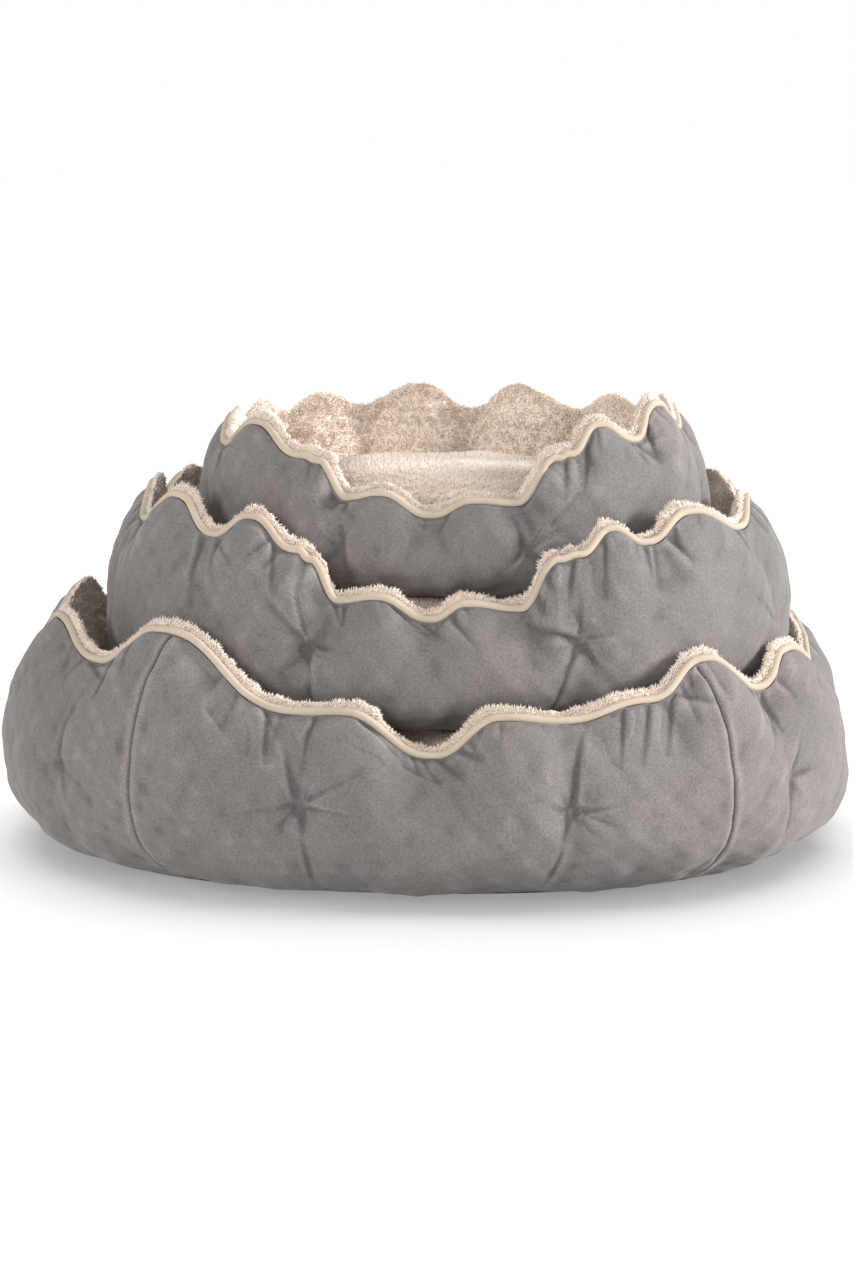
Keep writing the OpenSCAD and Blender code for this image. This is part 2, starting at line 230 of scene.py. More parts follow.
def rim_height(size, angle):
    """Height of the velvet's edge at each angle in radians, rounder from dip to scallop than the CAD."""
    at, h = (np.array(column, float) for column in zip(*RIM[size]))
    at, h = np.append(at, at[0] + 360), np.append(h, h[0]) / 1000
    x = (np.degrees(angle) - at[0]) % 360 + at[0]
    i = np.clip(np.searchsorted(at, x, side="right") - 1, 0, len(at) - 2)
    t = (x - at[i]) / (at[i + 1] - at[i])
    return h[i] + (h[i + 1] - h[i]) * t**3 * (10 - 15 * t + 6 * t * t)


def rim_inset(size, angle):
    """Inset of the rim, which leans out where it dips."""
    below = np.clip(TALL[size] - rim_height(size, angle), 0, LEAN_LIMIT)
    return share(size, RIM_SHARE) - RIM_LEAN * below


def share(size, part):
    return 2 * HALF[size][0] * part


def outer_point(size, angle, t):
    """Inset and height of the outside of the wall: t is 0 at the base seam and 1 at the rim."""
    h = rim_height(size, angle)
    belly = BELLY_SHARE * h
    low = np.clip(t / BELLY_ROW, 0, 1) * math.pi / 2
    high = np.clip((t - BELLY_ROW) / (1 - BELLY_ROW), 0, 1) * RIM_ARC
    inset = share(size, BASE_SHARE) * (1 - np.sin(low))
    inset = inset + rim_inset(size, angle) * (1 - np.cos(high)) / (1 - math.cos(RIM_ARC))
    z = FOOT + (belly - FOOT) * (1 - np.cos(low)) + (h - belly) * np.sin(high) / math.sin(RIM_ARC)
    return inset, z


def inner_point(size, angle, t):
    """Inset and height of the inside of the wall: t is 0 behind the piping and 1 at the floor."""
    h = rim_height(size, angle)
    bulge = LINING_SHARE * h
    start = rim_inset(size, angle) + PIPING_OUT + 0.6 * PIPING_R
    crest = rim_inset(size, angle) + CREST_IN
    wall = share(size, WALL_SHARE)
    roll = np.clip(t / ROLL_ROW, 0, 1)
    down = np.clip((t - ROLL_ROW) / (FLOOR_ROW - ROLL_ROW), 0, 1)
    foot = np.clip((t - FLOOR_ROW) / (1 - FLOOR_ROW), 0, 1)
    inset = start + (crest - start) * smooth_step(roll)
    inset = inset + (wall - crest) * (1 - np.cos(math.pi * down)) / 2 - 0.06 * wall * foot
    z = h + EDGE_UP + CREST * np.sin(roll * math.pi / 2)
    z = z + (bulge - h - EDGE_UP - CREST) * down + (LINING_FOOT - bulge) * foot
    return inset, z


def place(size, angle, inset, z):
    r = radius(size, inset, angle)
    return np.stack([r * np.cos(angle), r * np.sin(angle), z + 0 * r], -1)


def normals_of(grid, closed=True):
    """Outward unit normals of a grid of points, [column, row]."""
    if closed:
        du = np.roll(grid, -1, 0) - np.roll(grid, 1, 0)
    else:
        du = np.gradient(grid, axis=0)
    dv = np.gradient(grid, axis=1)
    return unit(np.cross(du, dv))


def wobble(points, size, seed, octaves=3):
    """Smooth noise over points, mostly from -1 to 1, with lumps about size metres across."""
    rng = np.random.default_rng(seed)
    total, weight = 0, 0
    for octave in range(octaves):
        k = 2 * math.pi / (size / 2**octave)
        for _ in range(7):
            d = unit(rng.normal(size=3)) * k * rng.uniform(0.6, 1.2)
            total = total + np.sin(points @ d + rng.uniform(0, 2 * math.pi)) / 2**octave
        weight += 7 * 0.5 / 4**octave
    return total / math.sqrt(weight) / 2


def at_surface(size, angle_deg, height_share, outside=True):
    """The point of a wall at an angle and a share of the rim's height."""
    angle = np.full(200, math.radians(angle_deg))
    t = np.linspace(0, 1, len(angle))
    inset, z = (outer_point if outside else inner_point)(size, angle, t)
    points = place(size, angle, inset, z)
    target = height_share * rim_height(size, angle[:1])[0]
    return points[np.argmin(np.abs(z - target) + (0 if outside else 0.01 * (t < ROLL_ROW)))]


def along(points, a, b):
    """How far along the line a to b each point is, from 0 to 1, and how far from it, as a vector."""
    ab = b - a
    s = np.clip((points - a) @ ab / (ab @ ab), 0, 1)
    return s, points - a - s[..., None] * ab


def wall_start(size):
    """The wall before it is stuffed: the outside up to the rim and the inside down to the floor."""
    angle = np.radians(-180 + 360 * np.arange(COLUMNS[size]) / COLUMNS[size])[:, None]
    out_t = np.linspace(0, 1, OUT_ROWS)[None, :]
    in_t = np.linspace(0, 1, IN_ROWS)[None, :] ** 0.9
    out = place(size, angle + 0 * out_t, *outer_point(size, angle + 0 * out_t, out_t))
    inside = place(size, angle + 0 * in_t, *inner_point(size, angle + 0 * in_t, in_t))
    return out, inside


def shape_wall(size, points, outside):
    """Dimples at the ties, hollows from them up to the rim's dips, and fullness between them."""
    n = normals_of(points)
    h = points[..., 2]
    move = np.zeros(points.shape[:2])
    lift = np.full(points.shape[:2], 1.0)
    for tie in TIES[size]:
        pull = PULL.get((size, tie), USUAL_PULL)
        dip, sink = (PIT * pull, HOLLOW * pull) if outside else (PLUSH_PIT, PLUSH_HOLLOW)
        a = at_surface(size, tie, TIE_SHARE, outside)
        top = at_surface(size, tie, 0.98, outside)
        foot = at_surface(size, tie, 0.10, outside)
        d = np.linalg.norm(points - a, axis=-1)
        scale = 0.55 + 0.45 * HALF[size][0] / HALF["large"][0]
        near = np.exp(-((d / (PIT_WIDTH * scale)) ** 0.9))
        move -= dip * scale * near
        for end, strength in ((top, 1.0), (foot, 0.6)):
            s, off = along(points, a, end)
            w = np.linalg.norm(off, axis=-1)
            fade = np.sin(math.pi * np.clip(s, 0, 1) * 0.9 + 0.15) ** 0.5
            move -= sink * strength * scale * np.exp(-((w / HOLLOW_WIDTH) ** 2)) * fade
            lift *= 1 - 0.8 * np.exp(-((w / CALM_WIDTH) ** 2))
    full = np.sin(math.pi * np.clip(h / np.maximum(h.max(1, keepdims=True), 1e-6), 0, 1)) ** 0.7
    move += FULL_START * full * lift
    return points + n * move[..., None]


# ---- Cloth ----


def grid_faces(columns, rows, closed):
    i = np.arange(columns if closed else columns - 1)
    j = np.arange(rows - 1)
    a, b = np.meshgrid(i, j, indexing="ij")
    c = (a + 1) % columns
    quads = np.stack([a * rows + b, c * rows + b, c * rows + b + 1, a * rows + b + 1], -1)
    return quads.reshape(-1, 4)


def mesh_object(name, points, faces, material=None):
    """An object from points and faces, shaded smooth."""
    points = np.asarray(points, float).reshape(-1, 3)
    mesh = bpy.data.meshes.new(name)
    if isinstance(faces, np.ndarray):
        mesh.vertices.add(len(points))
        mesh.vertices.foreach_set("co", points.ravel())
        mesh.loops.add(faces.size)
        mesh.loops.foreach_set("vertex_index", faces.ravel())
        mesh.polygons.add(len(faces))
        mesh.polygons.foreach_set("loop_start", np.arange(len(faces)) * faces.shape[1])
        mesh.update(calc_edges=True)
        mesh.validate()
    else:
        mesh.from_pydata(points.tolist(), [], [list(f) for f in faces])
        mesh.update()
    obj = bpy.data.objects.new(name, mesh)
    bpy.context.scene.collection.objects.link(obj)
    if material is not None:
        mesh.materials.append(material)
    mesh.polygons.foreach_set("use_smooth", [True] * len(mesh.polygons))
    return obj


PRESSURE, SURPLUS, MOST_SWELL, FRAMES = 2.5, 0.03, 0.0045, 20
HELD_ROUND_TIE = 0.002
FADE_ROWS = 4  # over which the swell starts at each edge of the wall


def simulate(name, grid, pinned):
    """Stuffs a closed band of cloth, held where it is pinned, and returns how far its points go."""
    columns, rows = grid.shape[:2]
    obj = mesh_object(name, grid, grid_faces(columns, rows, True))
    group = obj.vertex_groups.new(name="held")
    group.add(np.flatnonzero(pinned.ravel()).tolist(), 1.0, "REPLACE")
    cloth = obj.modifiers.new("cloth", "CLOTH")
    s = cloth.settings
    s.quality = 4
    s.mass = 0.25
    s.tension_stiffness = s.compression_stiffness = 12
    s.shear_stiffness = 4
    s.bending_stiffness = 0.35
    s.air_damping = 4
    s.vertex_group_mass = "held"
    s.use_pressure = True
    s.uniform_pressure_force = PRESSURE
    s.shrink_min = s.shrink_max = -SURPLUS
    s.effector_weights.gravity = 0
    cloth.collision_settings.use_collision = False
    cloth.collision_settings.use_self_collision = False
    scene = bpy.context.scene
    cloth.point_cache.frame_start, cloth.point_cache.frame_end = 1, FRAMES
    for f in range(1, FRAMES + 1):
        scene.frame_set(f)
    done = obj.evaluated_get(bpy.context.evaluated_depsgraph_get())
    move = mesh_points(done.data).reshape(grid.shape) - grid
    scene.frame_set(1)
    bpy.data.objects.remove(obj)
    length = np.linalg.norm(move, axis=-1, keepdims=True)
    return move * MOST_SWELL * np.tanh(length / MOST_SWELL) / np.maximum(length, TINY)


def stuff_wall(size):
    """The wall's outside and inside after stuffing."""
    out, inside = wall_start(size)
    out = shape_wall(size, out, True)
    inside = shape_wall(size, inside, False)
    band = np.concatenate([out, inside], 1)
    held = np.zeros(band.shape[:2], bool)
    held[:, [0, OUT_ROWS - 1, OUT_ROWS, -1]] = True
    for tie in (t for t in TIES[size] if PULL.get((size, t), USUAL_PULL) > HARD_PULL):
        for side, first in ((True, 0), (False, OUT_ROWS)):
            part = out if side else inside
            a = at_surface(size, tie, TIE_SHARE, side)
            far = np.linalg.norm(part - a, axis=-1)
            held[:, first : first + part.shape[1]] |= far < far.min() + HELD_ROUND_TIE
    swell = blurred(blurred(simulate(f"{size}_stuffing", band, held), 1), 2)
    rows = [np.arange(count) for count in (OUT_ROWS, IN_ROWS)]
    from_edge = np.concatenate([np.minimum(row, row[::-1]) for row in rows])
    band = band + swell * np.clip(from_edge / FADE_ROWS, 0, 1)[None, :, None]
    return band[:, :OUT_ROWS], band[:, OUT_ROWS:]


# ---- Fine meshes ----


def cubic(t):
    """Weights of four neighbours in a Catmull-Rom curve."""
    return np.stack(
        [
            -0.5 * t + t**2 - 0.5 * t**3,
            1 - 2.5 * t**2 + 1.5 * t**3,
            0.5 * t + 2 * t**2 - 1.5 * t**3,
            -0.5 * t**2 + 0.5 * t**3,
        ],
        -1,
    )


def resample(grid, columns, rows):
    """Points of a closed grid at fractional columns and rows."""
    n, m = grid.shape[:2]
    i = np.floor(columns).astype(int)
    w = cubic(columns - i)
    around = sum(grid[(i + k - 1) % n] * w[:, k, None, None] for k in range(4))
    j = np.clip(np.floor(rows).astype(int), 0, m - 2)
    v = cubic(rows - j)
    return sum(around[:, np.clip(j + k - 1, 0, m - 1)] * v[None, :, k, None] for k in range(4))


def fine_columns(size, count):
    """Fractional columns of the final mesh, with more of them beside each seam."""
    n = COLUMNS[size]
    cols = list(np.arange(count) * n / count)
    for seam in SEAMS[size]:
        at = (seam + 180) % 360 * n / 360
        mm = n / (2 * math.pi * 0.5 * sum(HALF[size])) / 1000  # columns in a millimetre
        cols = [c for c in cols if abs((c - at + n / 2) % n - n / 2) > 5.2 * mm]
        cols += [(at + k * mm) % n for k in (-4.5, -3, -1.8, -0.9, 0, 0.9, 1.8, 3, 4.5)]
    return np.array(sorted(cols))


FOLD_REACH = 0.006  # how far off its own height on the wall a fold still shows
FROM_TIE, FROM_RIM = 0.1, 0.6  # how much of a fold has grown where it starts


def pleat(points, n, a, b, depth, width, lip, start=FROM_TIE):
    """Movement along the normal for a fold from a to b: a crease, with one side standing over it."""
    s, off = along(points, a, b)
    across = unit(np.cross(b - a, n))
    side = (off * across).sum(-1)
    ahead = np.cross(n, across)
    over = np.abs((off * ahead).sum(-1))
    hold = np.exp(-((over / FOLD_REACH) ** 2))
    fade = np.clip(1 - s, 0, 1) ** 0.7 * smooth_step(s / 0.2 + start)
    bend = np.maximum(width * (0.45 + 0.95 * s), NARROWEST)
    near = np.sqrt(side**2 + (0.25 * bend) ** 2) / bend
    crease = -np.exp(-near)
    step = 0.55 * lip * np.tanh(side / (0.6 * bend)) * np.exp(-np.abs(side) / (4.5 * bend))
    return depth * hold * fade * (crease + step)


def gathers(size, points, n):
    """Small puckers that run down from the rim, closest together at its dips."""
    rng = np.random.default_rng(len(size))
    move = np.zeros(points.shape[:2])
    at = np.radians(np.linspace(-180, 180, 1441))
    h = rim_height(size, at)
    dips = np.clip(np.gradient(np.gradient(h, at), at), 0, None)
    dips = np.clip(dips / np.percentile(dips, 96), 0, 1)
    slopes = np.abs(np.gradient(h, at))
    slopes = np.clip(slopes / np.percentile(slopes, 96), 0, 1)
    column_angle = np.degrees(np.arctan2(points[:, -1, 1], points[:, -1, 0]))
    angle = -180.0
    while angle < 180:
        strength = np.interp(math.radians(angle), at, 0.9 * dips + 0.5 * slopes)
        angle += rng.uniform(1.4, 3.6) / (0.6 + strength) * (0.42 / HALF[size][0]) ** 0.5
        if rng.uniform() > 0.25 + 0.7 * strength:
            continue
        reach = rng.uniform(0.07, 0.17) + 0.09 * strength * rng.uniform(0, 1)
        lean = rng.normal(0, 2.2)
        a = at_surface(size, angle, 0.995)
        b = at_surface(size, angle + lean, 0.995 - reach)
        depth = (0.0008 + 0.0022 * strength) * rng.uniform(0.5, 1.1)
        width = rng.uniform(0.0020, 0.0036)
        near = np.abs((column_angle - angle + 180) % 360 - 180) < 9
        move[near] += pleat(points[near], n[near], a, b, depth, width, 1 if lean > 0 else -1, FROM_RIM)
    return move


def stars(size, points, n):
    """Short creases that spread out from every tie."""
    rng = np.random.default_rng(7 + len(size))
    move = np.zeros(points.shape[:2])
    scale = 0.6 + 0.4 * HALF[size][0] / HALF["large"][0]
    for tie in TIES[size]:
        a = at_surface(size, tie, TIE_SHARE)
        near = np.linalg.norm(points - a, axis=-1).min(1) < 0.09
        spin = rng.uniform(0, 60)
        pull = PULL.get((size, tie), USUAL_PULL)
        for k in range(6):
            turn = math.radians(spin + 60 * k + rng.uniform(-18, 18))
            far = rng.uniform(0.018, 0.050) * scale
            b = at_surface(
                size,
                tie + math.degrees(far * math.cos(turn) / radius(size, 0, math.radians(tie))),
                TIE_SHARE + far * math.sin(turn) / rim_height(size, np.radians([tie]))[0],
            )
            depth = rng.uniform(0.0006, 0.0018) * scale * pull
            width = rng.uniform(0.0022, 0.0045)
            crease = pleat(points[near], n[near], a, b, depth, width, 1)
            move[near] = np.where(np.abs(crease) > np.abs(move[near]), crease, move[near])
    return move


GROOVE, GROOVE_WIDTH = 0.0022, 0.0016  # of each seam
RIDGE, RIDGE_WIDTH, RIDGE_OUT = 0.0007, 0.004, 0.006  # beside it, and how far from it
LUMP, LUMP_SPAN = 0.0026, 0.075  # of the wadding under the velvet


def seam_grooves(size, points):
    """A groove along each seam, with a slightly raised edge on both sides."""
    move = np.zeros(points.shape[:2])
    for seam in SEAMS[size]:
        t = math.radians(seam)
        across = np.abs(points[..., 1] * math.cos(t) - points[..., 0] * math.sin(t))
        facing = points[..., 0] * math.cos(t) + points[..., 1] * math.sin(t) > 0
        move -= facing * GROOVE * np.exp(-((across / GROOVE_WIDTH) ** 2))
        move += facing * RIDGE * np.exp(-(((across - RIDGE_OUT) / RIDGE_WIDTH) ** 2))
    return move


def finish_velvet(size, points):
    """Folds, puckers, creases, seams and the lumps of the wadding, on the fine outside."""
    n = normals_of(points)
    move = np.zeros(points.shape[:2])
    for a, a_up, b, b_up, depth, width, lip in FOLDS[size]:
        first, last = at_surface(size, a, a_up / 100), at_surface(size, b, b_up / 100)
        depth, width = FOLD_DEPTH * depth, FOLD_WIDTH * width
        crease = pleat(points, n, first, last, depth, width, lip, FROM_TIE if a_up < RIM_FOLD else FROM_RIM)
        move = np.where(np.abs(crease) > np.abs(move), crease, move + 0.4 * crease)
    move += gathers(size, points, n) + stars(size, points, n)
    rows = np.linspace(0, 1, points.shape[1])[None, :]
    held = np.clip(np.minimum(rows / 0.08, (1 - rows) / 0.05), 0, 1)
    move += (LUMP * wobble(points, LUMP_SPAN, 3)) * held
    limit = np.where(move < 0, DEEPEST, HIGHEST)
    move = limit * np.tanh(move / limit) * np.clip((1 - rows) / 0.012, 0, 1)
    move += seam_grooves(size, points) * np.clip((1 - rows) / 0.01, 0, 1)
    points = points + n * move[..., None]
    points[..., 2] -= FOOT_SAG * np.clip(1 - rows / 0.06, 0, 1)
    return points


def blurred(field, cells):
    """A closed grid's values, averaged over a square that many cells each way."""
    shifts = range(-cells, cells + 1)
    field = sum(np.roll(field, k, 0) for k in shifts) / len(shifts)
    rows = np.arange(field.shape[1])
    return sum(field[:, np.clip(rows + k, 0, rows[-1])] for k in shifts) / len(shifts)


def crease_shading_of(points):
    """Painted shade and light at each point, from how the surface bends: dark in creases and light on
    bulges.
    """
    n = normals_of(points)
    fine = ((points - blurred(points, 3)) * n).sum(-1)
    broad = ((points - blurred(points, 10)) * n).sum(-1)
    fine = fine - fine.mean()
    fine = np.sign(fine) * np.maximum(np.abs(fine) - UNSHADED_BEND, 0)
    return 0.75 * np.tanh(fine / SHARP_BEND) + 0.2 * np.tanh((broad - broad.mean()) / BROAD_BEND)


def finish_plush(size, points, seed):
    """The soft clumps of the pile."""
    n = normals_of(points)
    rows = np.linspace(0, 1, points.shape[1])[None, :]
    held = np.clip(np.minimum(rows / 0.05, (1 - rows) / 0.05), 0, 1)
    move = 0.0020 * wobble(points, 0.05, seed, 2) + 0.0010 * wobble(points, 0.011, seed + 1, 2)
    return points + n * (move * held)[..., None]


def core(smooth, fabric, depth):
    """Every third point of a layer that stays depth metres inside the fabric everywhere."""
    n = normals_of(smooth)
    low = ((fabric - smooth) * n).sum(-1)
    for _ in range(4):
        low = np.minimum(low, np.minimum(np.roll(low, 1, 0), np.roll(low, -1, 0)))
        up, down = np.roll(low, 1, 1), np.roll(low, -1, 1)
        up[:, 0], down[:, -1] = low[:, 0], low[:, -1]
        low = np.minimum(low, np.minimum(up, down))
    return (smooth + n * (low - depth)[..., None])[::3, ::3]


def skirted(name, points, thickness, material):
    """A skin on an open grid of points, with its edges turned in by the fabric's thickness."""
    columns, rows = points.shape[:2]
    n = normals_of(points, False)
    inner = points - n * thickness
    count = columns * rows
    index = np.arange(count).reshape(columns, rows)
    edges = [index[:, 0], index[:, -1][::-1], index[0][::-1], index[-1]]
    fold = np.unique(np.concatenate(edges))
    moved = np.full(count, -1)
    moved[fold] = count + np.arange(len(fold))
    hems = [np.stack([e[:-1], moved[e[:-1]], moved[e[1:]], e[1:]], -1) for e in edges]
    faces = np.concatenate([grid_faces(columns, rows, False), *hems])
    points = np.concatenate([points.reshape(-1, 3), inner.reshape(-1, 3)[fold]])
    return mesh_object(name, points, faces, material)


def tubes(name, lines, r, material, sides, closed=False, up=(0, 0, 1)):
    """Round tubes along lines of points, as one object."""
    turn = 2 * np.pi * np.arange(sides) / sides
    across, above = np.cos(turn)[None, :, None], np.sin(turn)[None, :, None]
    points, faces, first = [], [], 0
    for line in lines:
        ahead = np.roll(line, -1, 0) - np.roll(line, 1, 0) if closed else np.gradient(line, axis=0)
        ahead = unit(ahead)
        side = unit(np.cross(ahead, np.array(up, float)))
        over = np.cross(side, ahead)
        ring = across * side[:, None] + above * over[:, None]
        points.append((line[:, None] + ring * np.broadcast_to(r, len(line))[:, None, None]).reshape(-1, 3))
        count = len(line)
        i, j = np.arange(count if closed else count - 1), np.arange(sides)
        a, b = np.meshgrid(i, j, indexing="ij")
        c, d = (a + 1) % count, (b + 1) % sides
        quads = np.stack([a * sides + b, a * sides + d, c * sides + d, c * sides + b], -1)
        faces += (first + quads.reshape(-1, 4)).tolist()
        if not closed:
            last = first + (count - 1) * sides
            faces += [list(range(first, first + sides))[::-1], list(range(last, last + sides))]
        first += count * sides
    return mesh_object(name, np.concatenate(points), faces, material)


# ---- Pile ----


def pile(name, grid, count, length, material, seed, dense=None, lean=(0.0, -0.4)):
    """Locks of pile standing on an open grid: each is a thin three-sided spike with a closed root."""
    rng = np.random.default_rng(seed)
    n = normals_of(grid, False)
    du, dv = np.gradient(grid, axis=0), np.gradient(grid, axis=1)
    area = np.linalg.norm(np.cross(du, dv), axis=-1)[:-1, :-1]
    if dense is not None:
        area = area * dense[:-1, :-1]
    pick = rng.choice(area.size, count, p=(area / area.sum()).ravel())
    i, j = np.unravel_index(pick, area.shape)
    u, v = rng.uniform(size=(2, count, 1))

    def mix(field):
        return (
            field[i, j] * (1 - u) * (1 - v)
            + field[i + 1, j] * u * (1 - v)
            + field[i, j + 1] * (1 - u) * v
            + field[i + 1, j + 1] * u * v
        )

    root, up = mix(grid), mix(n)
    right, down = unit(mix(du)), unit(mix(dv))
    sway = wobble(root, 0.030, seed + 5, 2)[:, None]
    sweep = wobble(root, 0.024, seed + 6, 2)[:, None]
    tilt = right * (lean[0] + 0.2 * sway) - down * (lean[1] + 0.2 * sweep)
    way = unit(up + 0.8 * tilt + 0.32 * rng.normal(size=(count, 3)))
    tall = length * rng.uniform(0.6, 1.2, (count, 1))
    tall = tall * (1 + 0.25 * wobble(root, 0.012, seed, 2))[:, None]
    r = rng.uniform(*LOCK_R, (count, 1))
    side = unit(np.cross(way, rng.normal(size=(count, 3))))
    other = np.cross(way, side)
    foot = root - up * ROOT_DEPTH
    turns = [2 * math.pi * k / 3 for k in range(3)]
    ring = [foot + (side * math.cos(t) + other * math.sin(t)) * r for t in turns]
    points = np.stack([*ring, root + way * tall], 1)
    one = np.array([(0, 2, 1), (0, 1, 3), (1, 2, 3), (2, 0, 3)])
    faces = (one[None] + 4 * np.arange(count)[:, None, None]).reshape(-1, 3)
    obj = mesh_object(name, points, faces, material)
    # 0 at each lock's root and 1 at its tip: the plush material paints shade at the roots from it.
    shade = np.tile([0, 0, 0, 1.0], count)
    tone = np.repeat(rng.uniform(size=count), 4)
    for label, values in (("along", shade), ("tone", tone)):
        attribute = obj.data.attributes.new(label, "FLOAT", "POINT")
        attribute.data.foreach_set("value", values.astype(np.float32))
    return obj


# ---- Materials ----


def new_material(name):
    """A new material, its nodes, and the place that its textures read."""
    m = bpy.data.materials.new(name)
    m.use_nodes = True
    return m, m.node_tree, add(m.node_tree, "ShaderNodeTexCoord").outputs["Object"]


def add(tree, kind, **values):
    node = tree.nodes.new(kind)
    for key, value in values.items():
        if hasattr(node, key):
            setattr(node, key, value)
        else:
            node.inputs[key.replace("_", " ").title()].default_value = value
    return node


def noise(tree, where, scale, detail=2.0, distortion=0.0, roughness=0.5):
    node = add(
        tree, "ShaderNodeTexNoise", scale=scale, detail=detail, distortion=distortion, roughness=roughness
    )
    tree.links.new(where, node.inputs["Vector"])
    return node.outputs["Fac"]


def ramp(tree, value, stops):
    node = add(tree, "ShaderNodeValToRGB")
    elements = node.color_ramp.elements
    while len(elements) < len(stops):
        elements.new(0.5)
    for element, (at, colour) in zip(elements, stops):
        element.position = at
        element.color = (*colour, 1)
    tree.links.new(value, node.inputs["Fac"])
    return node.outputs["Color"]


def mixed(tree, a, b, share_of_b, kind="MIX"):
    node = add(tree, "ShaderNodeMix", data_type="RGBA", blend_type=kind)
    for value, socket in ((a, 6), (b, 7), (share_of_b, 0)):
        if isinstance(value, (tuple, float, int)):
            node.inputs[socket].default_value = (*value, 1) if isinstance(value, tuple) else value
        else:
            tree.links.new(value, node.inputs[socket])
    return node.outputs[2]


def bump(tree, shader, heights):
    """Adds up (height, strength, distance) layers into the shader's normal."""
    last = None
    for height, strength, distance in heights:
        node = add(tree, "ShaderNodeBump", strength=strength, distance=distance)
        tree.links.new(height, node.inputs["Height"])
        if last is not None:
            tree.links.new(last, node.inputs["Normal"])
        last = node.outputs["Normal"]
    tree.links.new(last, shader.inputs["Normal"])


SOCKETS = {
    "roughness": "Roughness", "specular": "Specular IOR Level",
    "sheen": "Sheen Weight", "sheen_roughness": "Sheen Roughness", "sheen_tint": "Sheen Tint",
}


def varied(tree, base, field, dark, light, strength, ends=(0.3, 0.7)):
    """Multiplies a colour by tints that go from dark to light as the field goes between its ends."""
    tints = [tint if isinstance(tint, tuple) else (tint,) * 3 for tint in (dark, light)]
    return mixed(tree, base, ramp(tree, field, list(zip(ends, tints))), strength, "MULTIPLY")


def finish(m, base, heights, **shine):
    """Gives a material its colour, its bumps and the way it shines."""
    tree = m.node_tree
    shader = tree.nodes["Principled BSDF"]
    tree.links.new(base, shader.inputs["Base Color"])
    for name, value in shine.items():
        shader.inputs[SOCKETS[name]].default_value = value
    if heights:
        bump(tree, shader, heights)
    return m


def velvet_material():
    """Grey short-pile velvet: a grain of fibre ends, patches where the pile lies another way, and painted
    shade in its creases and painted light on its bulges.
    """
    m, tree, where = new_material("velvet")
    patches = noise(tree, where, 7, 3.0, 1.0, 0.5)
    strokes = noise(tree, where, 38, 3.0, 0.8, 0.6)
    grain = noise(tree, where, 520, 2.0)
    warm = noise(tree, where, 5, 1.0, 0.5)
    base = ramp(tree, patches, [(0.32, (0.156, 0.143, 0.138)), (0.68, (0.198, 0.181, 0.175))])
    tint = ramp(tree, warm, [(0.35, (0.170, 0.166, 0.165)), (0.65, (0.192, 0.168, 0.160))])
    base = mixed(tree, base, tint, 0.40)
    base = varied(tree, base, strokes, 0.82, 1.16, 0.10)
    base = varied(tree, base, grain, 0.72, 1.26, 0.70)
    # Painted shade in the creases and painted light on the bulges: this attribute darkens the colour to
    # 0.42 of itself and lightens it to 1.5 times.
    crease_shading = add(tree, "ShaderNodeAttribute", attribute_name="crease_shading").outputs["Fac"]
    spread = add(tree, "ShaderNodeMapRange", from_min=-1, from_max=1)
    tree.links.new(crease_shading, spread.inputs["Value"])
    crease_tint = ramp(tree, spread.outputs["Result"], [(0.0, (0.42,) * 3), (0.5, (1,) * 3), (1.0, (1.50,) * 3)])
    base = mixed(tree, base, crease_tint, 0.75, "MULTIPLY")
    heights = [(strokes, 0.15, 0.002), (grain, 0.5, 0.0006)]
    tint = (0.86, 0.79, 0.77, 1)
    return finish(
        m, base, heights, roughness=0.92, specular=0.25, sheen=0.22, sheen_roughness=0.45, sheen_tint=tint
    )


def plush_material(name, locks):
    """Cream long-pile plush, its ground a little darker than its locks: partly its own colour, partly
    painted shade between the locks. Each lock goes from painted shade at its root to a lighter tip.
    """
    m, tree, where = new_material(name)
    clumps = noise(tree, where, 70, 3.0, 0.6, 0.6)
    patches = noise(tree, where, 14, 2.0, 0.8)
    heights = []
    if locks:
        shade = add(tree, "ShaderNodeAttribute", attribute_name="along").outputs["Fac"]
        tone = add(tree, "ShaderNodeAttribute", attribute_name="tone").outputs["Fac"]
        # Painted shade at the root of each lock, growing lighter to its tip.
        base = ramp(
            tree, shade, [(0.0, (0.80, 0.68, 0.58)), (0.5, (0.86, 0.76, 0.67)), (1.0, (0.90, 0.82, 0.75))]
        )
        base = varied(tree, base, tone, 0.96, 1.04, 0.7, (0.0, 1.0))
    else:
        # Ground colour: the plush's own cream, a little darker than the locks as painted shade between
        # them.
        base = ramp(tree, clumps, [(0.28, (0.74, 0.61, 0.51)), (0.66, (0.84, 0.73, 0.64))])
        fibre = noise(tree, where, 420, 2.0, 0.4)
        heights = [(clumps, 0.7, 0.004), (fibre, 0.6, 0.0012)]
    base = varied(tree, base, patches, (0.86, 0.82, 0.78), (1.08, 1.06, 1.05), 0.6)
    tint = (1.0, 0.93, 0.86, 1)
    return finish(
        m, base, heights, roughness=0.95, specular=0.15, sheen=0.15, sheen_roughness=0.5, sheen_tint=tint
    )


def piping_material():
    """Smooth beige knit."""
    m, tree, where = new_material("piping_fabric")
    grain = noise(tree, where, 700, 2.0)
    patches = noise(tree, where, 24, 2.0, 0.4)
    base = ramp(tree, patches, [(0.3, (0.47, 0.385, 0.30)), (0.7, (0.56, 0.465, 0.37))])
    base = varied(tree, base, grain, 0.86, 1.10, 0.6)
    return finish(m, base, [(patches, 0.3, 0.003), (grain, 0.4, 0.0004)], roughness=0.95, specular=0.1)


def wadding_material():
    """White loose polyester fibre."""
    m, tree, where = new_material("wadding")
    fibre = noise(tree, where, 160, 4.0, 1.5)
    base = ramp(tree, fibre, [(0.3, (0.72, 0.72, 0.71)), (0.7, (0.88, 0.88, 0.87))])
    return finish(m, base, [(fibre, 0.8, 0.003)], roughness=1.0)


